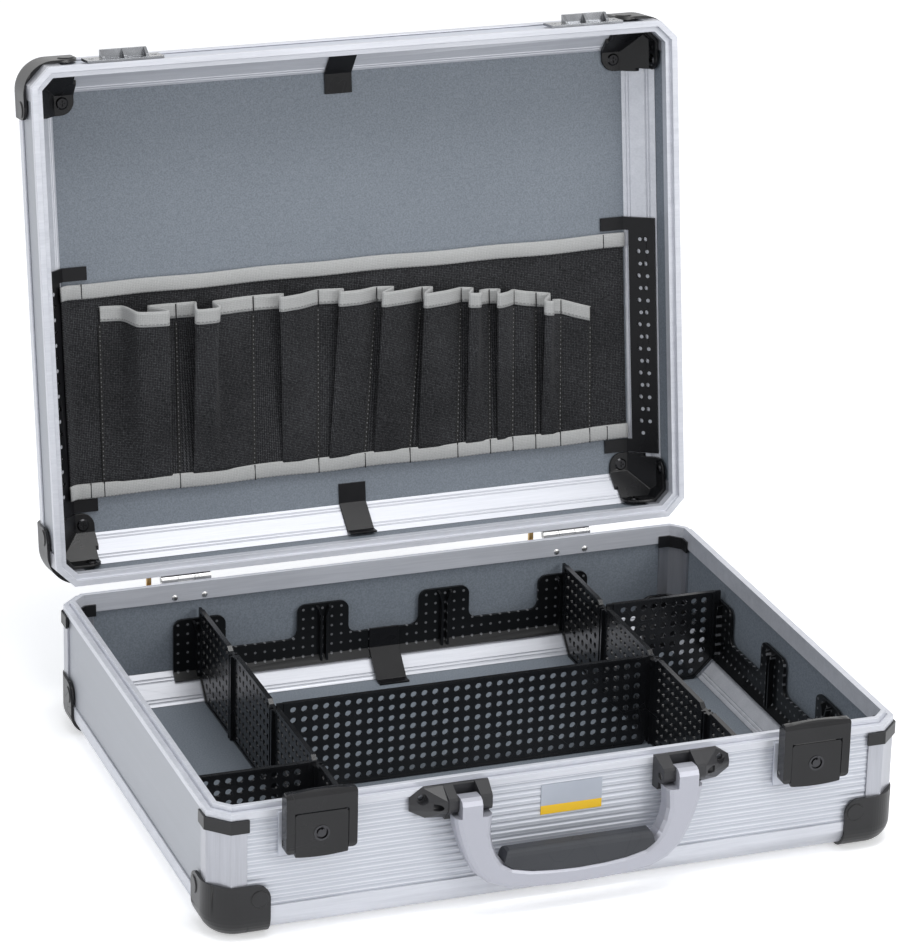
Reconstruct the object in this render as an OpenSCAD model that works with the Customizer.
// Hard tool case: two aluminium-framed trays hinged at the back, with a carrying handle, two key
// latches, a tool pocket panel in the lid and perforated dividers that slide in slotted rails.
// X runs along the front, Y to the back, Z up. The case stands open, with its lid on the hinge stops.

/* [Case] */
// Outer width of the aluminium frame
case_w = 445; // [400:1:520]
// Outer depth of the aluminium frame
case_d = 342; // [342:1:420]
// Height of the base tray, from its underside to the ledge of its rim
base_h = 81; // [81:1:140]
// Height of the lid tray
lid_h = 48; // [48:1:90]
// Leg of the 45 degree chamfer on the upright corners
corner_cut = 12; // [10:0.5:14]
// How far the lid opens before it rests on the hinge stops, in degrees
open_angle = 98.3; // [92:0.1:105]

/* [Walls] */
// Thickness of the flanges of the aluminium profiles outside the panels
flange_t = 1.2; // [1:0.1:1.6]
// Thickness of the outer aluminium panels
panel_t = 1.6; // [1:0.1:2]
// Thickness of the lining boards on the walls
lining_t = 3; // [2:0.1:4]
// Thickness of the lining boards on the floor and in the lid's panel
floor_lining_t = 1; // [0.8:0.1:2]
// Height of the ribs rolled into the front and back panels
rib_h = 0.4; // [0.3:0.1:0.6]
// Distance from one rib to the next
rib_pitch = 4.8; // [3:0.1:6]
// Outer radius of the bottom edge profiles
edge_r = 12; // [10:0.5:14]
// How far the 45 degree webs of these profiles reach up the walls
web_reach = 22; // [21:0.5:26]

/* [Rim] */
// Height of the tongue that enters the lid
tongue_h = 3; // [2:0.1:4]
// Distance from the outer face of the frame to the tongue
tongue_in = 4.4; // [4:0.1:5]
// Gap between the two rims when the lid is closed
rim_gap = 0.3; // [0.2:0.1:0.6]
// Height of the flange seen inside the rim
rim_skirt = 10; // [6:0.5:10]

/* [Corners] */
// How far the plastic corner guards stand out of the frame
guard_t = 2; // [1.5:0.1:3]
// How far the guards reach along each edge
guard_reach = 36; // [32:1:40]
// How far the guards reach up or down the corner
guard_rise = 33.3; // [30:0.1:36]
// Radius of the plugs over the guard screws
plug_r = 5.6; // [4:0.1:6.5]
// Height of the black connector between rim and column
connector_h = 8.2; // [6:0.1:10]

/* [Rails and dividers] */
// Distance between neighbouring divider places
bay = 86; // [60:1:86]
// Height of the divider panels
divider_h = 62; // [50:1:62]
// Thickness of the divider panels
divider_t = 1.8; // [1.4:0.1:2.4]
// Thickness of the rails
rail_t = 2; // [1.5:0.1:3]
// Width of a raised part of a rail
merlon_w = 36; // [24:1:44]
// Distance between the holes in the divider panels
hole_pitch = 7.3; // [7:0.1:12]
// Radius of the holes in the divider panels
hole_r = 2.1; // [1.2:0.1:2.4]
// Clearance of a divider in its slot, on each side
slide_gap = 0.3; // [0.2:0.05:0.5]

/* [Latches] */
// Distance of each latch from the side of the case
latch_inset = 63.5; // [60:0.5:80]
// Width of the latch hood
hood_w = 44; // [40:0.2:46]
// Width of the lever flap inside the hood
flap_w = 32.8; // [28:0.2:34]
// How far the hood stands out of the frame
hood_out = 13.4; // [13:0.1:15]
// Radius of the lock cylinder
lock_r = 5; // [4.4:0.1:5.5]
// Radius of the latch pins
latch_pin_r = 1.5; // [1.2:0.1:1.8]
// How far the strike's nose stands out of the lid
strike_out = 7.5; // [6:0.1:8]

/* [Handle] */
// How far the handle stands to the right of the middle
handle_shift = 2.5; // [-10:0.5:10]
// Distance of each handle arm from the middle of the handle
arm_x = 69.5; // [65:0.5:80]
// Width of a handle arm in its bracket
arm_w = 12.8; // [10:0.2:13.4]
// How far the front of the handle stands out of the frame
handle_out = 19.5; // [18:0.5:24]
// Depth of the handle from front to back
handle_t = 12; // [10:0.5:13]
// Radius of the handle's pivot pins
handle_pin_r = 2.2; // [1.5:0.1:2.6]

/* [Hinges] */
// Distance of each hinge from the side of the case
hinge_inset = 87.5; // [75:0.5:110]
// Length of the hinge barrel
barrel_l = 34; // [24:1:40]
// Radius of the hinge pins
hinge_pin_r = 1.2; // [1:0.1:1.4]

/* [Pocket panel] */
// Height of the tool pocket panel
pocket_panel_h = 144; // [120:1:144]
// Depth of the widest pockets at their mouths
pocket_depth = 20; // [10:0.5:21]
// Length of the perforated rails in the lid
lid_rail_l = 165; // [120:1:180]

/* [Hidden] */
$fn = 48;
eps = 0.01;
fit = 0.1;

// Wall build-up, measured inwards from the outer face of the frame
slot_w = panel_t + lining_t + 0.4;
slot_end = flange_t + slot_w;
wall_in = slot_end + 1.4;
panel_out = flange_t + fit;
lining_out = panel_out + panel_t + fit;
lining_in = lining_out + lining_t;
slot_foot = edge_r + 3;
zone = 22;
floor_in = lining_out + floor_lining_t;
web_sum = web_reach + lining_in;
web_t = 1.4;
latch_x = case_w / 2 - latch_inset;
hinge_x = case_w / 2 - hinge_inset;

// Heights
base_z = guard_t;
ledge_z = base_z + base_h;
lid_z = ledge_z + rim_gap + lid_h;
floor_z = base_z + floor_in;

// Tops of the walls and linings, measured from each tray's closed side. The lid's rim leaves a step
// inside its outer wall that clears the tongue.
socket = tongue_h + 0.4 - rim_gap;
base_wall_top = base_h - 1.8;
lid_wall_top = lid_h - socket - 1.4;

// Hinge axis
pivot_y = case_d + 3;
pivot_z = ledge_z + 2.1;
knuckle_r = 2.6;

// Colours
alu = [0.86, 0.87, 0.89];
board = [0.42, 0.45, 0.48];
black = [0.12, 0.12, 0.13];
steel = [0.75, 0.76, 0.78];
brass = [0.72, 0.58, 0.32];
cloth = [0.16, 0.16, 0.17];
painted = [0.76, 0.77, 0.81];

// ---- Plan shapes -------------------------------------------------------------------------------

// The case's outline with its corners cut, drawn in by t all round
module outline(t) {
    c = corner_cut - t * (2 - sqrt(2));
    x = case_w / 2 - t;
    polygon([[-x + c, t], [x - c, t], [x, t + c], [x, case_d - t - c], [x - c, case_d - t],
        [-x + c, case_d - t], [-x, case_d - t - c], [-x, t + c]]);
}

// A closed frame between two insets of the outline
module frame_ring(t0, t1, z0, z1) {
    translate([0, 0, z0])
        linear_extrude(z1 - z0)
            difference() {
                outline(t0);
                outline(t1);
            }
}

// Squares that cover the four corners of the plan, reach on each leg
module corner_squares(reach) {
    for (sx = [-1, 1], end = [0, 1])
        translate([sx * case_w / 2, end * case_d])
            mirror([sx > 0 ? 1 : 0, 0])
                mirror([0, end])
                    translate([-4, -4])
                        square(reach + 4);
}

// Draws its children at the front left corner and at the other three
module at_corners() {
    for (sx = [0, 1], sy = [0, 1])
        translate([0, sy * case_d, 0])
            mirror([0, sy, 0])
                mirror([sx, 0, 0])
                    translate([-case_w / 2, 0, 0])
                        children();
}

// Rectangle with round corners, built of true arcs
module round_rect(w, h, r) {
    translate([r, 0])
        square([w - 2 * r, h]);
    translate([0, r])
        square([w, h - 2 * r]);
    for (x = [r, w - r], y = [r, h - r])
        translate([x, y])
            circle(r);
}

// Lays an XY outline in the XZ plane, with depth d towards +Y
module extrude_y(d) {
    translate([0, d, 0])
        rotate([90, 0, 0])
            linear_extrude(d)
                children();
}

// Lays an outline drawn as (y, z) in the YZ plane, with length d towards +X
module extrude_x(d) {
    rotate([90, 0, 90])
        linear_extrude(d)
            children();
}

// ---- Tray parts, drawn with the outer face of the closed side at z = 0 and the rim at z = h --------

// Cross-section of the ribbed sheet, outer side towards -y, as (z, y)
module ribbed_section(h) {
    ribs = floor(h / rib_pitch);
    start = (h - ribs * rib_pitch) / 2;
    polygon(concat([[0, panel_t], [0, rib_h]],
        [for (i = [0 : ribs - 1], p = [[0.1, rib_h], [0.35, 0], [0.75, 0], [0.95, rib_h]])
            [start + (i + p[0]) * rib_pitch, p[1]]],
        [[h, rib_h], [h, panel_t]]));
}

module tray_wall_x(top, back) {
    z0 = slot_foot + fit;
    run = top - z0;
    half = case_w / 2 - zone + 5.4;
    translate([0, back ? case_d : 0, 0])
        mirror([0, back ? 1 : 0, 0])
            translate([-half, panel_out, z0])
                rotate([0, -90, 180])
                    mirror([0, 1, 0])
                        linear_extrude(2 * half)
                            ribbed_section(run);
}

module tray_wall_y(top, right) {
    z0 = slot_foot + fit;
    mirror([right ? 1 : 0, 0, 0])
        translate([-case_w / 2 + panel_out, zone - 5.4, z0])
            cube([panel_t, case_d - 2 * (zone - 5.4), top - z0]);
}

module tray_floor() {
    inset = slot_foot + fit;
    translate([-case_w / 2 + inset, inset, panel_out])
        cube([case_w - 2 * inset, case_d - 2 * inset, panel_t]);
}

module tray_lining(top) {
    inset = slot_foot + fit;
    side = zone - 5.4;
    run = top - inset;
    difference() {
        union() {
            translate([-case_w / 2 + inset, inset, lining_out])
                cube([case_w - 2 * inset, case_d - 2 * inset, floor_lining_t]);
            for (back = [0, 1])
                translate([-case_w / 2 + side, back ? case_d - lining_in : lining_out, inset])
                    cube([case_w - 2 * side, lining_t, run]);
            for (right = [0, 1])
                translate([right ? case_w / 2 - lining_in : -case_w / 2 + lining_out, side, inset])
                    cube([lining_t, case_d - 2 * side, run]);
        }
        at_corners()
            for (place = screw_places())
                translate(place[0])
                    rotate(place[1])
                        translate([0, 0, -1])
                            cylinder(r = screw_r + fit, h = place[2] + 1 + fit);
    }
}

// Extruded profile along a bottom edge, as (distance in from the wall, height)
module edge_section() {
    foot = slot_foot - web_t;
    difference() {
        intersection() {
            rounded_foot(edge_r);
            polygon([[0, 0], [web_sum, 0], [0, web_sum]]);
        }
        // hollow inside the profile
        intersection() {
            translate([flange_t, flange_t])
                rounded_foot(edge_r - flange_t);
            polygon([[0, 0], [foot, 0], [foot, web_sum - 1.5 * web_t - foot],
                [web_sum - 1.5 * web_t - foot, foot], [0, foot]]);
        }
        // slots for the wall and for the floor, and the ends of the outer flanges
        translate([flange_t, slot_foot])
            square([slot_w, web_sum]);
        translate([slot_foot, flange_t])
            square([web_sum, panel_t + floor_lining_t + 0.4]);
        translate([-1, slot_foot + 3])
            square([flange_t + 1.1, web_sum]);
        translate([slot_foot + 3, -1])
            square([web_sum, flange_t + 1.1]);
        // fine grooves along both edges of the web
        for (z = [floor_in + 2.2, floor_in + 3.8, web_sum - wall_in - 3.8, web_sum - wall_in - 2.2])
            translate([web_sum - z - 0.4, z - 0.4])
                square(0.8);
    }
}

module tray_edges() {
    end = web_sum + 1;
    for (sy = [0, 1])
        translate([0, sy * case_d, 0])
            mirror([0, sy, 0])
                translate([-case_w / 2 + end, 0, 0])
                    extrude_x(case_w - 2 * end)
                        edge_section();
    for (sx = [0, 1])
        mirror([sx, 0, 0])
            translate([-case_w / 2, end, 0])
                extrude_y(case_d - 2 * end)
                    edge_section();
}

// Extruded column in an upright corner, in plan; without its inner part where inner is false
module column_section(inner) {
    intersection() {
        union() {
            difference() {
                outline(0);
                outline(flange_t);
            }
            if (inner) {
                difference() {
                    outline(slot_end);
                    outline(wall_in);
                }
                intersection() {
                    difference() {
                        outline(flange_t - eps);
                        outline(slot_end + eps);
                    }
                    difference() {
                        corner_squares(zone - 5.6);
                        corner_squares(zone - 7);
                    }
                }
            }
        }
        corner_squares(zone - fit);
    }
}

// The columns' outer flange ends at top, their inner part at inner_top
module tray_columns(top, inner_top) {
    translate([0, 0, edge_r])
        linear_extrude(inner_top - edge_r)
            column_section(true);
    if (top > inner_top)
        translate([0, 0, inner_top - eps])
            linear_extrude(top - inner_top + eps)
                column_section(false);
}

// A tray's lower front left corner, rounded to plan_r in plan and to r round its foot, its outer
// faces at -g
module round_corner(g, plan_r, r) {
    c = plan_r - g;
    hull()
        for (a = [0 : 11.25 : 90]) {
            d = r * (1 - sin(a));
            translate([0, 0, r * (1 - cos(a)) - g])
                linear_extrude(a < 90 ? 0.01 : 60) {
                    translate([c, c])
                        circle(plan_r - d, $fn = 64);
                    translate([c, d - g])
                        square([60 - c, 10]);
                    translate([d - g, c])
                        square([10, 60 - c]);
                }
        }
}

module rounded_foot(r) {
    translate([r, r])
        circle(r, $fn = 96);
    translate([r, 0])
        square(60 - r);
    translate([0, r])
        square(60);
}

// What the guard wraps in that corner: the column, and the profiles' ends past its solid foot
module frame_corner() {
    c = guard_plan_r - guard_t;
    translate([0, 0, edge_r - fit])
        linear_extrude(60)
            polygon([[corner_cut, 0], [60, 0], [60, 60], [0, 60], [0, corner_cut]]);
    translate([0, c, 0])
        extrude_y(60 - c)
            rounded_foot(edge_r);
    translate([c, 0, 0])
        extrude_x(60 - c)
            rounded_foot(edge_r);
    translate([corner_cut + 2, corner_cut + 2, 0])
        cube(46);
    translate([c, c, edge_r / 3])
        cylinder(r = guard_plan_r - 5.5, h = edge_r);
}

// Rounded tab outlines of the guard on one face, from the corner outwards
module guard_tab(reach, rise) {
    r = 9;
    translate([-guard_t, -guard_t])
        square([reach + guard_t - r, rise + guard_t]);
    translate([-guard_t, -guard_t])
        square([reach + guard_t, rise + guard_t - r]);
    translate([reach - r, rise - r])
        circle(r);
}

plug_at = 29.3;
plug_up = 24.5;
guard_plan_r = edge_r + 9;

module guard() {
    difference() {
        intersection() {
            round_corner(guard_t, guard_plan_r, edge_r + guard_t);
            union() {
                translate([0, -guard_t, 0])
                    extrude_y(edge_r)
                        guard_tab(guard_reach, guard_rise);
                translate([-guard_t, 0, 0])
                    extrude_x(edge_r)
                        guard_tab(guard_reach, guard_rise);
                translate([0, 0, -guard_t])
                    linear_extrude(edge_r)
                        guard_tab(guard_reach, guard_reach);
            }
        }
        frame_corner();
        translate([plug_at, 1, plug_up])
            rotate([90, 0, 0])
                cylinder(r = plug_r + fit, h = guard_t + 2);
        translate([1, plug_at, plug_up])
            rotate([0, -90, 0])
                cylinder(r = plug_r + fit, h = guard_t + 2);
    }
}

// Snap-in plug: a disc with a turned rim
module plug() {
    rotate_extrude()
        polygon([[0, 0], [plug_r, 0], [plug_r, guard_t + 0.2], [plug_r - 0.6, guard_t + 0.7],
            [0, guard_t + 0.7]]);
}

module guard_plugs() {
    translate([plug_at, 0, plug_up])
        rotate([90, 0, 0])
            plug();
    translate([0, plug_at, plug_up])
        rotate([0, -90, 0])
            plug();
}

// Plan of the inner corner cup's outer side, drawn in by t from the inner faces
module inner_plan(t) {
    a = wall_in + t;
    c = corner_cut - wall_in * (2 - sqrt(2)) - t * (2 - sqrt(2));
    polygon([[a + c, a], [60, a], [60, 60], [a, 60], [a, a + c]]);
}

// Upright section through the same corner: wall, 45 degree web and lining
module inner_foot(t) {
    w = web_sum + t * sqrt(2);
    polygon([[wall_in + t, w - wall_in - t], [w - floor_in - t, floor_in + t],
        [60, floor_in + t], [60, 60], [wall_in + t, 60]]);
}

module corner_space(t) {
    intersection() {
        linear_extrude(60)
            inner_plan(t);
        extrude_y(60)
            inner_foot(t);
        extrude_x(60)
            inner_foot(t);
    }
}

cup_t = 2.2;
screw_at = 30;
screw_up = plug_up + 1.6;
screw_r = 2.1;

// Black cup that ties the three faces together inside a lower corner
module inner_corner() {
    difference() {
        intersection() {
            corner_space(0.05);
            union() {
                extrude_y(wall_in + 12)
                    guard_tab(guard_reach, guard_rise);
                extrude_x(wall_in + 12)
                    guard_tab(guard_reach, guard_rise);
                linear_extrude(floor_in + 10)
                    guard_tab(guard_reach + 2, guard_reach + 2);
            }
        }
        corner_space(cup_t);
        for (place = screw_places())
            translate(place[0])
                rotate(place[1])
                    cylinder(r = screw_r + fit, h = 12, center = true);
    }
}

// Where the cup's three screws sit, how each one turns and how far it goes in
function screw_places() = [
    [[plug_at, wall_in, screw_up], [90, 0, 0], wall_in - lining_out - 0.2],
    [[wall_in, plug_at, screw_up], [0, -90, 0], wall_in - lining_out - 0.2],
    [[screw_at, screw_at, floor_in], [180, 0, 0], floor_lining_t - 0.1]];

// Screw with its head on the cup's face, towards -Z, and its tip at depth
module cup_screw(depth) {
    difference() {
        union() {
            translate([0, 0, -cup_t - 0.9])
                cylinder(r1 = 3.2, r2 = 4.2, h = 0.9);
            translate([0, 0, -cup_t - eps])
                cylinder(r = screw_r, h = cup_t + depth + eps);
        }
        for (a = [0, 90])
            rotate([0, 0, a])
                translate([-2, -0.4, -cup_t - 1.5])
                    cube([4, 0.8, 1.6]);
    }
}

// ---- Base tray -----------------------------------------------------------------------------------

module in_base() {
    translate([0, 0, base_z])
        children();
}

module base_floor() {
    color(alu)
        in_base()
            tray_floor();
}

module base_front_panel() {
    color(alu)
        in_base()
            tray_wall_x(base_wall_top, false);
}

module base_back_panel() {
    color(alu)
        in_base()
            tray_wall_x(base_wall_top, true);
}

module base_left_panel() {
    color(alu)
        in_base()
            tray_wall_y(base_wall_top, false);
}

module base_right_panel() {
    color(alu)
        in_base()
            tray_wall_y(base_wall_top, true);
}

module base_lining() {
    color(board)
        in_base()
            tray_lining(base_wall_top);
}

module base_rim() {
    color(alu)
        in_base()
            union() {
                frame_ring(0, flange_t, base_h - 4.3, base_h);
                frame_ring(0, wall_in, base_h - 1.6, base_h - 0.8);
                frame_ring(0, tongue_in - 0.8, base_h - 1.6, base_h);
                frame_ring(tongue_in, wall_in, base_h - 1.6, base_h + tongue_h);
                frame_ring(slot_end, wall_in, base_h - rim_skirt, base_h - 1.6 + eps);
            }
}

module base_edge_profiles() {
    color(alu)
        in_base()
            tray_edges();
}

module base_corner_columns() {
    color(alu)
        in_base()
            tray_columns(base_h - 4.4 - connector_h, base_h - 4.4 - connector_h);
}

module base_corner_guards() {
    color(black)
        in_base()
            at_corners()
                guard();
}

module base_guard_plugs() {
    color(black)
        in_base()
            at_corners()
                guard_plugs();
}

// Moulded connector that ties the rim to a corner column: a band outside, a lip inside
module rim_connectors(h, skirt) {
    low = h - 4.4 - connector_h;
    band = 1.4;
    intersection() {
        union() {
            frame_ring(-band, 0, low, h - 4.4);
            frame_ring(wall_in + fit, wall_in + band, low, h - 4.4);
        }
        linear_extrude(h)
            corner_squares(zone + 1);
    }
    intersection() {
        union() {
            frame_ring(-eps, slot_end - fit, low + fit, h - 4.4);
            frame_ring(slot_end - fit - eps, wall_in + fit + eps, low + fit, h - skirt - fit);
        }
        linear_extrude(h)
            corner_squares(zone - 6);
    }
}

module base_rim_connectors() {
    color(black)
        in_base()
            rim_connectors(base_h, rim_skirt);
}

module base_inner_corners() {
    color(black)
        in_base()
            at_corners()
                inner_corner();
}

module cup_screws() {
    at_corners()
        for (place = screw_places())
            translate(place[0])
                rotate(place[1])
                    cup_screw(place[2]);
}

module base_screws() {
    color(steel)
        in_base()
            cup_screws();
}

// ---- Rails and dividers --------------------------------------------------------------------------

rail_top = ledge_z - 22.5;
rail_valley = ledge_z - 46.5;
rail_foot = base_z + web_sum - wall_in;
rail_front_t = wall_in + rail_t;
guide_w = 1.6;
guide_out = 3.4;
slot_half = divider_t / 2 + slide_gap;
lip_sum = 3;
splay = 2.4;

// A rail along +X in front of a wall at y = 0, with a place for a divider at each x in places
module rail(places) {
    first = places[0] - merlon_w / 2;
    length = places[len(places) - 1] + merlon_w / 2 - first;
    rise = rail_top - 1 - rail_foot;
    translate([0, wall_in, 0])
        extrude_y(rail_t)
            castellation(places, first, length);
    // guides that hold the divider's edge between them and open at the top
    intersection() {
        translate([0, wall_in + rail_t - 0.5, 0])
            extrude_y(guide_out + 0.5)
                for (x = places, s = [0, 1])
                    translate([x, rail_foot])
                        mirror([s, 0])
                            polygon([[slot_half, -8], [slot_half + guide_w, -8],
                                [slot_half + guide_w, rise - 7.5],
                                [slot_half + guide_w + splay, rise], [slot_half + splay, rise],
                                [slot_half, rise - 7.5]]);
        translate([first, wall_in, rail_foot])
            extrude_x(length)
                polygon([[rail_t - 0.6, rise], [rail_t + guide_out, rise - 1],
                    [rail_t + guide_out, lip_sum - 0.5 - rail_t - guide_out],
                    [rail_t - 0.6, lip_sum - rail_t + 0.6]]);
    }
    // foot bent over the 45 degree web
    translate([first, wall_in, rail_foot])
        extrude_x(length)
            polygon([[0, 3.6], [0, 0.2], [5, -4.8], [5 + lip_sum / 2, lip_sum / 2 - 5],
                [rail_t, lip_sum - rail_t]]);
}

// Outline of a rail: raised parts with round shoulders over a low band
module castellation(places, first, length) {
    r = 6;
    final = len(places) - 1;
    translate([first, rail_foot])
        square([length, rail_valley - rail_foot]);
    for (i = [0 : final]) {
        translate([places[i] - merlon_w / 2, rail_foot])
            round_rect(merlon_w, rail_top - rail_foot, r);
        for (s = [-1, 1])
            if ((s < 0 && i > 0) || (s > 0 && i < final))
                translate([places[i] + s * merlon_w / 2, rail_valley])
                    difference() {
                        translate([s > 0 ? -eps : -r, -eps])
                            square(r + eps);
                        translate([s * r, r])
                            circle(r);
                    }
    }
}

places_x = [for (i = [-1.5 : 1 : 1.5]) i * bay];
places_y = [for (i = [-1 : 1]) i * bay];

module rail_front() {
    color(black)
        rail(places_x);
}

module rail_back() {
    color(black)
        translate([0, case_d, 0])
            mirror([0, 1, 0])
                rail(places_x);
}

module rail_left() {
    color(black)
        translate([-case_w / 2, case_d / 2, 0])
            rotate([0, 0, -90])
                rail(places_y);
}

module rail_right() {
    color(black)
        translate([case_w / 2, case_d / 2, 0])
            rotate([0, 0, 90])
                rail(places_y);
}

divider_top = floor_z + 0.4 + divider_h;

// Outline of a divider drawn in by side at its ends and by e elsewhere; its lower corners are cut by
// cuts, and its top edge dips over each post
function divider_outline(l, cuts, posts, side, e) =
    let (x = l / 2 - side, z0 = floor_z + 0.4, k = e * sqrt(2), top = divider_top - e)
    concat([[-l / 2 + cuts[0] + k - e, z0 + e], [l / 2 - cuts[1] - k + e, z0 + e],
        [x, z0 + max(cuts[1] + k - side, e)], [x, top]],
        [for (i = [len(posts) - 1 : -1 : 0], q = [[9, 0], [6, dip], [-6, dip], [-9, 0]])
            [posts[i] + q[0], top - q[1]]],
        [[-x, top], [-x, z0 + max(cuts[0] + k - side, e)]]);

// Perforated panel of length l along X, centred, with a raised bead round it.
// posts lists the places of the double ribs that take a cross divider's edge.
module divider_panel(l, cuts, posts) {
    z0 = floor_z + 0.4;
    margin = 5.4;
    side = 9.5;
    columns = floor((l - 2 * side) / hole_pitch);
    rows = floor((divider_h - 2 * margin) / hole_pitch);
    translate([0, divider_t / 2, 0])
        rotate([90, 0, 0])
            linear_extrude(divider_t)
                difference() {
                    polygon(divider_outline(l, cuts, posts, 0, 0));
                    for (i = [0 : columns], j = [0 : rows]) {
                        x = (i - columns / 2) * hole_pitch;
                        z = z0 + margin + j * hole_pitch;
                        from_left = x + l / 2 + z - z0 - cuts[0];
                        from_right = l / 2 - x + z - z0 - cuts[1];
                        near_post = len([for (p = posts) if (abs(x - p) < 5.6) 1]) > 0;
                        in_dip = j == rows && len([for (p = posts) if (abs(x - p) < 10) 1]) > 0;
                        if (from_left > 7 && from_right > 7 && !near_post && !in_dip)
                            translate([x, z])
                                circle(hole_r, $fn = 16);
                    }
                }
    // bead round the panel on both faces, open between the posts
    translate([0, divider_t / 2 + bead_out, 0])
        rotate([90, 0, 0])
            linear_extrude(divider_t + 2 * bead_out)
                difference() {
                    polygon(divider_outline(l, cuts, posts, bead_in, 0));
                    polygon(divider_outline(l, cuts, posts, bead_in + bead_w, bead_w));
                    for (p = posts)
                        translate([p - slot_half - guide_w / 2, z0 - 1])
                            square([2 * slot_half + guide_w, divider_h + 2]);
                }
    for (p = posts, face = [-1, 1], s = [-1, 1])
        translate([p + s * (slot_half + guide_w / 2) - guide_w / 2,
            face > 0 ? divider_t / 2 - eps : -divider_t / 2 - post_out, z0])
            cube([guide_w, post_out + eps, divider_h - dip]);
}

post_out = 2.2;
bead_out = 0.7;
bead_w = 1.5;
bead_in = 4.4;
dip = 2.5;
// Height of the 45 degree cut that clears the web and the rail's foot
cut = web_sum + lip_sum + 0.6 - rail_front_t - slide_gap - floor_in - 0.4;
small_cut = 6;
bay_x = 1.5 * bay;
long_half = case_d / 2 - rail_front_t - slide_gap;
long_posts = places_y;

module long_divider(side) {
    color(black)
        translate([side * bay_x, case_d / 2, 0])
            rotate([0, 0, 90])
                divider_panel(2 * long_half, [cut, cut], long_posts);
}

// Span between the two long dividers, and between one of them and the side rail
centre_l = 2 * (bay_x - divider_t / 2 - slide_gap);
side_l = case_w / 2 - rail_front_t - slide_gap - bay_x - divider_t / 2 - slide_gap;

module divider_left() {
    long_divider(-1);
}

module divider_right() {
    long_divider(1);
}

module divider_centre() {
    color(black)
        translate([0, case_d / 2, 0])
            divider_panel(centre_l, [small_cut, small_cut], []);
}

module divider_front_left() {
    color(black)
        translate([-bay_x - divider_t / 2 - slide_gap - side_l / 2, case_d / 2 - bay, 0])
            divider_panel(side_l, [cut, small_cut], []);
}

module divider_back_right() {
    color(black)
        translate([bay_x + divider_t / 2 + slide_gap + side_l / 2, case_d / 2 + bay, 0])
            divider_panel(side_l, [small_cut, cut], []);
}

// Bent spring clip of width l over the 45 degree web, from wall to lining, for a wall at y = 0 and
// from z = 0. Its legs lie against y = a and run up to z = leg_top and lining_leg past the bend.
clip_t = 1.3;

module clip(l, a, sum, leg_top, lining_leg) {
    b = floor_in + fit;
    k = clip_t * (sqrt(2) - 1);
    translate([-l / 2, 0, 0])
        extrude_x(l)
            polygon([[a, leg_top], [a, sum - a], [sum - b, b], [sum - b + lining_leg, b],
                [sum - b + lining_leg, b + clip_t], [sum - b + k, b + clip_t],
                [a + clip_t, sum - a + k], [a + clip_t, leg_top]]);
}

module base_clip() {
    color(black)
        in_base()
            translate([0, case_d, 0])
                mirror([0, 1, 0])
                    clip(21, rail_front_t + fit, web_sum + lip_sum + 0.2,
                        rail_valley - base_z + 1.5, 7);
}

// ---- Hinges --------------------------------------------------------------------------------------

leaf_t = 1.2;
leaf_y = case_d + fit;
knuckle_l = barrel_l / 3 - 0.3;

// A knuckle with its tab to the wall; z runs from the axis to the leaf, up or down
module knuckle(x, l, down) {
    s = down ? -1 : 1;
    difference() {
        union() {
            translate([x - l / 2, pivot_y, pivot_z])
                rotate([0, 90, 0])
                    cylinder(r = knuckle_r, h = l);
            translate([x - l / 2, case_d + rim_gap, pivot_z + (down ? -6 : 0)])
                cube([l, leaf_t, 6]);
        }
        translate([x - l / 2 - 1, pivot_y, pivot_z])
            rotate([0, 90, 0])
                cylinder(r = hinge_pin_r + 0.05, h = l + 2);
    }
}

module base_leaf() {
    for (s = [-1, 1])
        knuckle(s * (barrel_l - knuckle_l) / 2, knuckle_l, true);
    difference() {
        translate([-barrel_l / 2 - 10, case_d, ledge_z - 18])
            cube([barrel_l + 12, leaf_t + rim_gap, 16.5]);
        for (x = [-10.5, 10])
            translate([x, case_d - 1, ledge_z - 9])
                rotate([-90, 0, 0])
                    cylinder(r = 1.7, h = 5);
    }
    // the bent stop that the open lid rests on
    translate([-barrel_l / 2 - 9, case_d + leaf_t, 0])
        extrude_x(3)
            polygon([[0, ledge_z - 16], [2.4, ledge_z - 14], [6, ledge_z - 4], [6, stop_z(6)],
                [3.4, stop_z(3.4)], [3.4, ledge_z - 4], [0, ledge_z - 9]]);
}

// Height of the open lid's back wall above the stop, y past the leaf
function stop_z(y) = pivot_z + (2.9 - (y + leaf_t - 3) * sin(open_angle - 90)) / cos(open_angle - 90);

module base_hinge_leaves() {
    color(steel)
        for (s = [-1, 1])
            translate([s * hinge_x, 0, 0])
                base_leaf();
}

module hinge_pins() {
    color(steel)
        for (s = [-1, 1])
            translate([s * hinge_x - barrel_l / 2 - 0.4, pivot_y, pivot_z])
                rotate([0, 90, 0])
                    cylinder(r = hinge_pin_r, h = barrel_l + 0.8);
}

// ---- Handle --------------------------------------------------------------------------------------

handle_y = -9.5;
handle_z = ledge_z - 9;
arm_gap = 0.7;
bracket_in = arm_x - 16;
bracket_end = arm_x + 34;
shoulder = 5.2;
ear_r = shoulder - 0.5;

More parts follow.
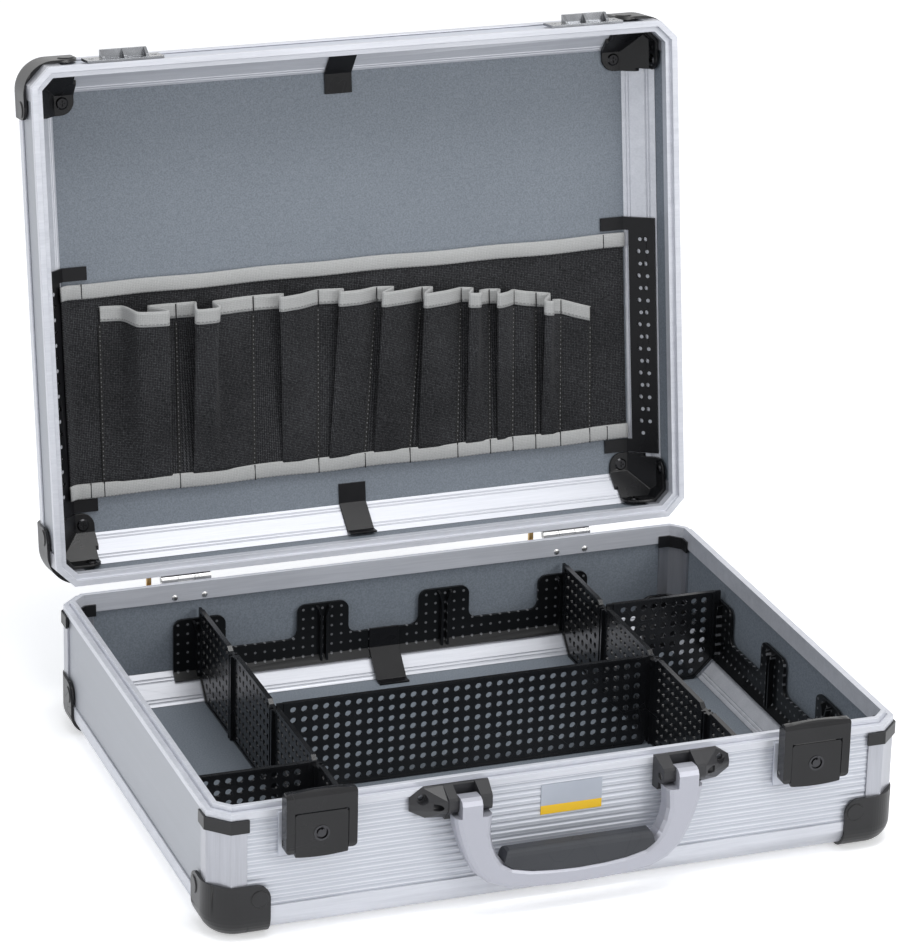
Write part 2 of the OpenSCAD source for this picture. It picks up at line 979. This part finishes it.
// Bracket on the right: two ears that hold the arm's pin and a wing that runs out to the screw
module handle_bracket() {
    ear = arm_w / 2 + arm_gap;
    difference() {
        union() {
            translate([bracket_in, 0, 0])
                ear_block(arm_x - ear - bracket_in);
            translate([arm_x - ear - 1, 0, 0])
                extrude_x(2 * ear + 2)
                    polygon([[-0.1, ledge_z - 19], [-0.1, ledge_z + 1.7], [-3, ledge_z + 0.6],
                        [-3, ledge_z - 19]]);
            translate([arm_x + ear, 0, 0])
                ear_block(6);
            bracket_wing(arm_x + ear + 6);
            translate([bracket_in + 1, -0.2, ledge_z - 18.5])
                cube([bracket_end - bracket_in - 12, panel_out + 0.2, 13.5]);
        }
        translate([bracket_in - 5, handle_y, handle_z])
            rotate([0, 90, 0])
                cylinder(r = handle_pin_r + 0.05, h = 2 * (arm_x - bracket_in) + 10);
        translate([bracket_end - 7.2, -9, ledge_z - 4.7])
            rotate([-90, 0, 0]) {
                cylinder(r = 2, h = 14);
                cylinder(r = 3.4, h = 6.5);
            }
        translate([arm_x - ear, handle_y - 20, handle_z - 20])
            cube([2 * ear, 20 + arm_clear_back(), 40]);
        // the inner ear's slanted side
        translate([bracket_in - 2, -20, ledge_z - 25])
            linear_extrude(40)
                polygon([[0, 0], [4.2, 0], [2, 20], [0, 20]]);
    }
}

// How far behind the pivot the space for the arm runs
function arm_clear_back() = 7.4;

// Ears clear the bail's shoulder as it turns: round about the pivot in front, lower only behind it
module ear_block(l) {
    arc = [for (a = [0 : 15 : 90])
        [handle_y - ear_r * cos(a), handle_z - ear_r * sin(a)]];
    extrude_x(l)
        polygon(concat([[-0.1, ledge_z - 19], [-0.1, ledge_z + 1.7], [-2.5, ledge_z + 1.9],
            [handle_y - ear_r + 1.2, ledge_z - 2.6], [handle_y - ear_r, ledge_z - 4]], arc,
            [[handle_y + 2.4, handle_z - ear_r], [handle_y + 3.2, ledge_z - 19]]));
}

// Wing from x0 outwards: an upper and a lower facet that meet in a falling ridge
module bracket_wing(x0) {
    hull() {
        translate([x0 - 0.2, 0, ledge_z])
            extrude_x(0.2)
                polygon([[-0.1, -18.8], [-0.1, 1.7], [-2.5, 1.6], [-12.8, -4.6], [-12.8, -11],
                    [-5, -18]]);
        translate([arm_x + 24.5, 0, ledge_z])
            extrude_x(0.2)
                polygon([[-0.1, -18.5], [-0.1, 1.7], [-2, 0.8], [-7.2, -9.6], [-3.5, -17.6]]);
        translate([bracket_end - 0.6, 0, ledge_z])
            extrude_x(0.2)
                polygon([[-0.1, -13.6], [-0.1, -4.6], [-2.2, -8.6], [-1.8, -12.6]]);
    }
}

module handle_brackets() {
    color(black)
        translate([handle_shift, 0, 0])
            for (s = [0, 1])
                mirror([s, 0, 0])
                    handle_bracket();
}

module handle_pins() {
    color(steel)
        translate([handle_shift, 0, 0])
            for (s = [0, 1])
                mirror([s, 0, 0])
                    translate([bracket_in + 2, handle_y, handle_z])
                        rotate([0, 90, 0])
                            cylinder(r = handle_pin_r, h = 2 * (arm_x - bracket_in) - 6);
}

// Half of the bail's centre line, from its shoulder to the middle of the grip bar:
// [x, height below the ledge, half width]
function bail_half() = [
    [arm_x - 1.7, -14.2, 11.9], [arm_x - 1.7, -16, 11.9], [arm_x - 2, -21, 11.2],
    [arm_x - 3.1, -29, 9.9], [arm_x - 5.7, -38, 9.2], [arm_x - 9.8, -46.6, 8.8],
    [arm_x - 16, -53.4, 8.0], [arm_x - 24.6, -57.8, 7.0], [arm_x - 38.6, -60.4, 6.2],
    [arm_x - 53.6, -61.5, 5.8]];

function bail_line() = concat(
    [for (p = bail_half()) [p[0], ledge_z + p[1], p[2]]],
    [[0, ledge_z - 62, 5.7]],
    [for (i = [len(bail_half()) - 1 : -1 : 0])
        [-bail_half()[i][0], ledge_z + bail_half()[i][1], bail_half()[i][2]]]);

// Unit direction of the line at station i
function bail_dir(line, i) =
    let (a = line[max(i - 1, 0)], b = line[min(i + 1, len(line) - 1)],
        d = [b[0] - a[0], b[1] - a[1]])
    d / norm(d);

// One cross-section: flat back, bevelled front
function bail_ring(line, i) =
    let (p = line[i], d = bail_dir(line, i), n = [-d[1], d[0]], w = p[2], b = min(3.6, w * 0.45),
        back = -handle_out + handle_t, front = -handle_out)
    [for (q = [[-w, back], [-w, front + b], [-w + b * 0.4, front + b * 0.3], [-w + b, front],
            [w - b, front], [w - b * 0.4, front + b * 0.3], [w, front + b], [w, back]])
        [p[0] + n[0] * q[0], q[1], p[1] + n[1] * q[0]]];

module bail_bar() {
    line = bail_line();
    n = len(line);
    points = [for (i = [0 : n - 1]) each bail_ring(line, i)];
    sides = [for (i = [0 : n - 2], k = [0 : 7])
        [i * 8 + k, i * 8 + (k + 1) % 8, (i + 1) * 8 + (k + 1) % 8, (i + 1) * 8 + k]];
    first = [for (k = [7 : -1 : 0]) k];
    last = [for (k = [0 : 7]) (n - 1) * 8 + k];
    polyhedron(points, concat([first, last], sides));
}

module handle_bail() {
    color(painted)
        translate([handle_shift, 0, 0])
            bail();
}

module bail() {
    difference() {
        union() {
            bail_bar();
            for (s = [-1, 1])
                translate([s * arm_x - arm_w / 2, 0, 0])
                    bail_arm();
        }
        for (s = [-1, 1])
            translate([s * arm_x - 20, handle_y, handle_z])
                rotate([0, 90, 0])
                    cylinder(r = handle_pin_r + 0.05, h = 40);
    }
}

// Arm from the shoulder up round its pin
module bail_arm() {
    back = -handle_out + handle_t;
    extrude_x(arm_w) {
        translate([handle_y, handle_z])
            circle(6.4);
        polygon([[back, ledge_z - 15], [back, handle_z], [handle_y, handle_z + 6.4],
            [-handle_out + 4.5, ledge_z - 2.4], [-handle_out + 1.4, ledge_z - 3.6],
            [-handle_out, ledge_z - 6.4], [-handle_out, ledge_z - 15]]);
    }
}

// Rubber insert: fills the inside of the lower bar up to a straight, rounded upper edge
grip_top = ledge_z - 39.5;
grip_half = arm_x - 22;

module handle_grip() {
    line = bail_line();
    inner = [for (i = [0 : len(line) - 1])
        let (d = bail_dir(line, i), n = [-d[1], d[0]], p = line[i])
        [p[0] + n[0] * -p[2], p[1] + n[1] * -p[2]]];
    front = -handle_out - 0.6;
    back = front + handle_t + 0.2;
    color(black)
        translate([handle_shift, 0, 0])
            intersection() {
                translate([0, front, 0])
                    extrude_y(handle_t + 0.2)
                        polygon(concat([for (q = inner)
                            if (abs(q[0]) < grip_half + 2 && q[1] < grip_top - 5) q],
                            [[-grip_half, grip_top - 3], [-grip_half + 1, grip_top - 1],
                                [-grip_half + 3, grip_top], [grip_half - 3, grip_top],
                                [grip_half - 1, grip_top - 1], [grip_half, grip_top - 3]]));
                translate([-grip_half - 10, 0, 0])
                    extrude_x(2 * grip_half + 20)
                        polygon([[front, grip_top - 40], [front, grip_top - 4],
                            [front + 0.8, grip_top - 1.8], [front + 2.2, grip_top - 0.5],
                            [front + 4, grip_top], [back - 4, grip_top], [back - 2.2, grip_top - 0.5],
                            [back - 0.8, grip_top - 1.8], [back, grip_top - 4],
                            [back, grip_top - 40]]);
            }
}

// ---- Latches, drawn about x = 0 ------------------------------------------------------------------

lever_y = -6.5;
lever_z = ledge_z - 5;
hood_pin_y = -6.5;
hood_pin_z = ledge_z - 19.5;
key_z = ledge_z - 12.7;
plate_front = -1.6;
flap_front = -hood_out + 0.2;
flap_t = 2.5;
flap_top = ledge_z + 0.8;
flap_low = ledge_z - 27.8;
hood_top = ledge_z + 14.6;
hood_low = ledge_z - 24.7;
arm_in = flap_w / 2 + slide_gap;
lip_y = -strike_out - slide_gap;
cheek_x = 14.3;
lever_rib_x = 11.5;

module at_latch(side) {
    translate([side * latch_x, 0, 0])
        children();
}

// Base plate with two cheeks for the lever's pin and a keeper for the lock's cam
module latch_plate() {
    half = hood_w / 2 + 1;
    difference() {
        union() {
            translate([-half, plate_front, ledge_z - 30])
                cube([2 * half, -plate_front - 0.05, 28.4]);
            translate([-half + 2, -0.1, ledge_z - 25])
                cube([2 * half - 4, panel_out + 0.1, 20]);
            for (s = [-1, 1])
                translate([s > 0 ? cheek_x : -cheek_x - 1.6, 0, 0])
                    extrude_x(1.6) {
                        translate([lever_y, lever_z])
                            circle(3.4);
                        translate([lever_y, lever_z - 4.4])
                            square([-lever_y + plate_front + 0.5, 7.8]);
                        translate([lever_y - 1.5, lever_z - 4.4])
                            square([2, 4]);
                    }
            // keeper: the cam turns in behind its overhang
            translate([6.6, plate_front - 4.9, key_z - 3.5])
                cube([3.8, 1.3, 7]);
            translate([9, plate_front - 4.9, key_z - 3.5])
                cube([1.4, 5, 7]);
        }
        for (s = [-1, 1])
            translate([s > 0 ? cheek_x - 1 : -cheek_x - 2.6, lever_y, lever_z])
                rotate([0, 90, 0])
                    cylinder(r = latch_pin_r + 0.05, h = 3.6);
    }
}

module latch_plates() {
    color(steel)
        for (side = [-1, 1])
            at_latch(side)
                latch_plate();
}

module latch_lever_pins() {
    color(steel)
        for (side = [-1, 1])
            at_latch(side)
                translate([-cheek_x - 1.6, lever_y, lever_z])
                    rotate([0, 90, 0])
                        cylinder(r = latch_pin_r, h = 2 * cheek_x + 3.2);
}

// The flap with its two ribs, carried on the lever pin
module latch_lever() {
    difference() {
        union() {
            translate([0, flap_front, 0])
                extrude_y(flap_t)
                    intersection() {
                        translate([-flap_w / 2, flap_low])
                            round_rect(flap_w, flap_top - flap_low, 2);
                        translate([0, flap_low + 130])
                            circle(130, $fn = 200);
                    }
            for (s = [-1, 1])
                translate([s > 0 ? lever_rib_x : -lever_rib_x - 2.4, 0, 0])
                    extrude_x(2.4) {
                        translate([lever_y, lever_z])
                            circle(3.3);
                        translate([hood_pin_y, hood_pin_z])
                            circle(3.3);
                        translate([flap_front + flap_t - 0.5, hood_pin_z - 3.3])
                            square([lever_y + 2.4 - flap_front - flap_t, lever_z - hood_pin_z + 6.6]);
                    }
        }
        for (z = [lever_z, hood_pin_z])
            translate([-20, lever_y, z])
                rotate([0, 90, 0])
                    cylinder(r = latch_pin_r + 0.05, h = 40);
        translate([0, -20, key_z])
            rotate([-90, 0, 0])
                cylinder(r = lock_r + 0.05, h = 20);
    }
}

module latch_lever_left() {
    color(black)
        at_latch(-1)
            latch_lever();
}

module latch_lever_right() {
    color(black)
        at_latch(1)
            latch_lever();
}

// The hood from the front: round corners under a slightly crowned top
module hood_outline(half) {
    translate([-half, hood_low])
        round_rect(2 * half, hood_top - hood_low - 6, 2.6);
    intersection() {
        translate([-half, hood_top - 20])
            round_rect(2 * half, 20, 2.6);
        translate([0, hood_top - 220])
            circle(220, $fn = 200);
    }
}

// Hood: a frame round the flap, with the lip that hooks over the strike
module latch_hood() {
    half = hood_w / 2;
    back = -4.6;
    difference() {
        intersection() {
            translate([-half, 0, 0])
                extrude_x(hood_w)
                    polygon([[back, hood_low + 1.5], [back - 1.5, hood_low], [-hood_out + 1, hood_low],
                        [-hood_out, hood_low + 3], [-hood_out - 0.2, ledge_z - 5],
                        [-hood_out, hood_top - 3.4], [-hood_out + 0.5, hood_top - 1.6],
                        [-hood_out + 1.4, hood_top - 0.6], [-hood_out + 3, hood_top],
                        [lip_y, hood_top], [lip_y + 1.2, hood_top - 3], [back, hood_top - 4]]);
            translate([0, -hood_out - 1, 0])
                extrude_y(hood_out)
                    hood_outline(half);
        }
        // room for the flap
        translate([-arm_in, -30, hood_low - 10])
            cube([2 * arm_in, 60, flap_top + 1 - hood_low + 10]);
        // room for the strike's nose behind the front wall
        translate([-arm_in, -hood_out + 3, hood_low - 10])
            cube([2 * arm_in, 30, hood_top - 3 - hood_low + 10]);
        // nothing behind the lip's edge
        translate([-arm_in, lip_y, hood_low - 10])
            cube([2 * arm_in, 30, 80]);
        translate([-half - 1, hood_pin_y, hood_pin_z])
            rotate([0, 90, 0])
                cylinder(r = latch_pin_r + 0.05, h = hood_w + 2);
    }
}

module latch_hood_left() {
    color(black)
        at_latch(-1)
            latch_hood();
}

module latch_hood_right() {
    color(black)
        at_latch(1)
            latch_hood();
}

module hood_pin() {
    translate([-hood_w / 2 + 0.5, hood_pin_y, hood_pin_z])
        rotate([0, 90, 0])
            cylinder(r = latch_pin_r, h = hood_w - 1);
}

module hood_pin_left() {
    color(steel)
        at_latch(-1)
            hood_pin();
}

module hood_pin_right() {
    color(steel)
        at_latch(1)
            hood_pin();
}

// Lock cylinder with its keyway and the cam behind the flap
module lock_cylinder() {
    cam_y = plate_front - 3.3;
    translate([0, 0, key_z]) {
        difference() {
            translate([0, flap_front - 0.3, 0])
                rotate([-90, 0, 0])
                    cylinder(r = lock_r, h = cam_y - flap_front + 0.3);
            // key groove round the core
            translate([0, flap_front - 1, 0])
                rotate([-90, 0, 0])
                    difference() {
                        cylinder(r = lock_r - 1.2, h = 2.2);
                        translate([0, 0, -1])
                            cylinder(r = lock_r - 2.4, h = 4);
                    }
            translate([-0.5, flap_front - 1, lock_r - 3])
                cube([1, 2.2, 2.4]);
        }
        translate([0, cam_y - 0.1, 0])
            extrude_y(1.7) {
                circle(2.4);
                translate([-2.4, -8.6])
                    square([4.8, 8.6]);
            }
    }
}

module lock_left() {
    color(steel)
        at_latch(-1)
            lock_cylinder();
}

module lock_right() {
    color(steel)
        at_latch(1)
            lock_cylinder();
}

// ---- Lid, drawn closed and then swung open -------------------------------------------------------

module swung() {
    translate([0, pivot_y, pivot_z])
        rotate([-open_angle, 0, 0])
            translate([0, -pivot_y, -pivot_z])
                children();
}

module in_lid() {
    swung()
        translate([0, 0, lid_z])
            mirror([0, 0, 1])
                children();
}

module lid_panel() {
    color(alu)
        in_lid()
            tray_floor();
}

module lid_front_panel() {
    color(alu)
        in_lid()
            tray_wall_x(lid_wall_top, false);
}

module lid_back_panel() {
    color(alu)
        in_lid()
            tray_wall_x(lid_wall_top, true);
}

module lid_left_panel() {
    color(alu)
        in_lid()
            tray_wall_y(lid_wall_top, false);
}

module lid_right_panel() {
    color(alu)
        in_lid()
            tray_wall_y(lid_wall_top, true);
}

module lid_lining() {
    color(board)
        in_lid()
            tray_lining(lid_wall_top);
}

module lid_rim() {
    color(alu)
        in_lid()
            union() {
                frame_ring(0, flange_t, lid_h - 4.3, lid_h);
                frame_ring(0, tongue_in - 0.4, lid_h - socket, lid_h);
                frame_ring(0, wall_in, lid_h - socket - 1.2, lid_h - socket + eps);
                frame_ring(slot_end, wall_in, lid_h - rim_skirt, lid_h - socket);
            }
}

module lid_edge_profiles() {
    color(alu)
        in_lid()
            tray_edges();
}

module lid_corner_columns() {
    color(alu)
        in_lid()
            tray_columns(lid_h - 4.5, lid_h - rim_skirt - fit);
}

module lid_corner_guards() {
    color(black)
        in_lid()
            at_corners()
                guard();
}

module lid_guard_plugs() {
    color(black)
        in_lid()
            at_corners()
                guard_plugs();
}

module lid_inner_corners() {
    color(black)
        in_lid()
            at_corners()
                inner_corner();
}

module lid_screws() {
    color(steel)
        in_lid()
            cup_screws();
}

// Perforated rail on the web of the lid's left or right side, with a bent tab at each end; it starts
// just past the guard on the hinge side
lid_rail_from = guard_reach + 2.5;
tab_l = 9;

module lid_rail() {
    t = 1.5;
    k = t * (sqrt(2) - 1);
    sum = web_sum + 0.2;
    low = floor_in + fit;
    half = 6.8;
    mid = sum / 2;
    length = lid_rail_l;
    holes = floor((length - 30) / 8.5);
    translate([-case_w / 2, case_d - lid_rail_from - length, 0])
        difference() {
            union() {
                extrude_y(length)
                    polygon([[mid - half, mid + half], [mid + half, mid - half],
                        [mid + half + t / sqrt(2), mid - half + t / sqrt(2)],
                        [mid - half + t / sqrt(2), mid + half + t / sqrt(2)]]);
                for (y = [0, length - tab_l])
                    translate([0, y, 0])
                        extrude_y(tab_l)
                            polygon([[mid, mid], [sum - low, low], [sum - low + 17, low],
                                [sum - low + 17, low + t], [sum - low + k, low + t],
                                [mid + t / sqrt(2), mid + t / sqrt(2)]]);
            }
            for (i = [0 : holes])
                translate([mid, 15 + i * 8.5, mid])
                    rotate([0, 45, 0])
                        translate([i % 2 == 0 ? -2.6 : 2.6, 0, -5])
                            cylinder(r = 1.6, h = 12, $fn = 16);
        }
}

module lid_rail_left() {
    color(black)
        in_lid()
            lid_rail();
}

module lid_rail_right() {
    color(black)
        in_lid()
            mirror([1, 0, 0])
                lid_rail();
}

lid_clip_x = -3.5;

module lid_clips() {
    color(black)
        in_lid()
            for (back = [0, 1])
                translate([0, back * case_d, 0])
                    mirror([0, back, 0])
                        translate([lid_clip_x, 0, 0])
                            clip(19, wall_in + fit, web_sum + 0.2, web_sum + 7 - wall_in, 14);
}

module lid_leaf() {
    knuckle(0, knuckle_l + 0.2, false);
    difference() {
        translate([-barrel_l / 2, case_d, pivot_z + knuckle_r + fit])
            cube([barrel_l, leaf_t + rim_gap, 12]);
        for (x = [-10.5, 10])
            translate([x, case_d - 1, ledge_z + 10])
                rotate([-90, 0, 0])
                    cylinder(r = 1.7, h = 5);
    }
}

module lid_hinge_leaves() {
    color(steel)
        swung()
            for (s = [-1, 1])
                translate([s * hinge_x, 0, 0])
                    lid_leaf();
}

// Strike on the lid's front wall: a plate with a nose and two side lugs
module lid_strike() {
    difference() {
        union() {
            translate([-25.5, -1.8, ledge_z + 2.5])
                cube([51, 1.75, 16]);
            translate([-15.5, -strike_out, ledge_z + 8.8])
                cube([31, strike_out - 1, 2.5]);
            for (x = [-15.5, -1, 13.5])
                translate([x, 0, 0])
                    extrude_x(2)
                        polygon([[-1, ledge_z + 3.4], [-1, ledge_z + 11.3], [-strike_out, ledge_z + 11.3],
                            [-strike_out, ledge_z + 8.8], [-3.4, ledge_z + 3.4]]);
        }
        for (x = [-21, 21])
            translate([x, -3, ledge_z + 10.5])
                rotate([-90, 0, 0])
                    cylinder(r = 1.7, h = 5);
    }
}

module lid_strikes() {
    color(black)
        swung()
            for (s = [-1, 1])
                translate([s * latch_x, 0, 0])
                    lid_strike();
}

// Tool pocket panel: a back sheet on the lining and a row of pockets sewn to it.
// The seams are the edges of the pockets, from the left.
panel_low = lid_rail_from + tab_l + 0.5;
panel_half = case_w / 2 - web_sum + floor_in - 0.5;
sheet_t = 1.6;
pocket_low = panel_low + 7.5;
seams = [for (k = [-176, -123.5, -70.5, -25, 12, 44, 75.5, 97.5, 114.5, 131, 149, 171])
    k * panel_half / 198];
// Height of each pocket's mouth above the panel's lower edge, as a share of the panel's height
mouths = [0.882, 0.872, 0.868, 0.861, 0.844, 0.823, 0.802, 0.785, 0.767, 0.733, 0.684];

// Wide pockets stand out further than narrow ones
function bulge(w) = pocket_depth * (0.25 + 0.75 * w / 53);

module pocket_panel() {
    color(cloth)
        in_lid()
            translate([0, case_d, floor_in + 0.15])
                mirror([0, 1, 0]) {
                    translate([-panel_half, panel_low, 0])
                        cube([2 * panel_half, pocket_panel_h, sheet_t]);
                    for (i = [0 : len(seams) - 2])
                        pocket(seams[i], seams[i + 1], panel_low + mouths[i] * pocket_panel_h);
                }
}

// One pocket from x0 to x1: slanted front and a seam on each side
module pocket(x0, x1, top) {
    depth = bulge(x1 - x0);
    for (x = [x0, x1 - sheet_t])
        translate([x, 0, sheet_t - eps])
            extrude_x(sheet_t)
                polygon([[pocket_low, 0], [top, 0], [top, depth], [pocket_low + 12, 0.6]]);
    translate([x0, 0, sheet_t - eps])
        extrude_x(x1 - x0)
            polygon([[pocket_low, 0], [pocket_low + 14, 0], [top, depth - sheet_t], [top, depth],
                [pocket_low + 12, 0.6]]);
}

// ---- The whole case, moved so that the middle of its bounding box is over the origin -------------

// Furthest points of the open case along Y: the handle in front, the lid's upper guards behind
guard_arc = edge_r + guard_t;
lid_tip_s = pivot_y + guard_t - guard_arc;
lid_tip_n = lid_z + guard_t - guard_arc - pivot_z;
y_back = pivot_y - lid_tip_s * cos(open_angle) + lid_tip_n * sin(open_angle) + guard_arc;
y_front = -handle_out - 0.6;

module placed() {
    translate([0, -(y_back + y_front) / 2, 0])
        children();
}

placed() base_floor();
placed() base_front_panel();
placed() base_back_panel();
placed() base_left_panel();
placed() base_right_panel();
placed() base_lining();
placed() base_rim();
placed() base_edge_profiles();
placed() base_corner_columns();
placed() base_corner_guards();
placed() base_guard_plugs();
placed() base_rim_connectors();
placed() base_inner_corners();
placed() base_screws();
placed() rail_front();
placed() rail_back();
placed() rail_left();
placed() rail_right();
placed() base_clip();
placed() base_hinge_leaves();
placed() hinge_pins();
placed() handle_brackets();
placed() handle_pins();
placed() latch_plates();
placed() latch_lever_pins();
placed() lid_panel();
placed() lid_front_panel();
placed() lid_back_panel();
placed() lid_left_panel();
placed() lid_right_panel();
placed() lid_lining();
placed() lid_rim();
placed() lid_edge_profiles();
placed() lid_corner_columns();
placed() lid_corner_guards();
placed() lid_guard_plugs();
placed() lid_inner_corners();
placed() lid_screws();
placed() lid_rail_left();
placed() lid_rail_right();
placed() lid_clips();
placed() lid_hinge_leaves();
placed() lid_strikes();
placed() pocket_panel();
placed() handle_bail();
placed() handle_grip();
placed() latch_lever_left();
placed() latch_lever_right();
placed() latch_hood_left();
placed() latch_hood_right();
placed() hood_pin_left();
placed() hood_pin_right();
placed() lock_left();
placed() lock_right();
placed() divider_left();
placed() divider_right();
placed() divider_centre();
placed() divider_front_left();
placed() divider_back_right();
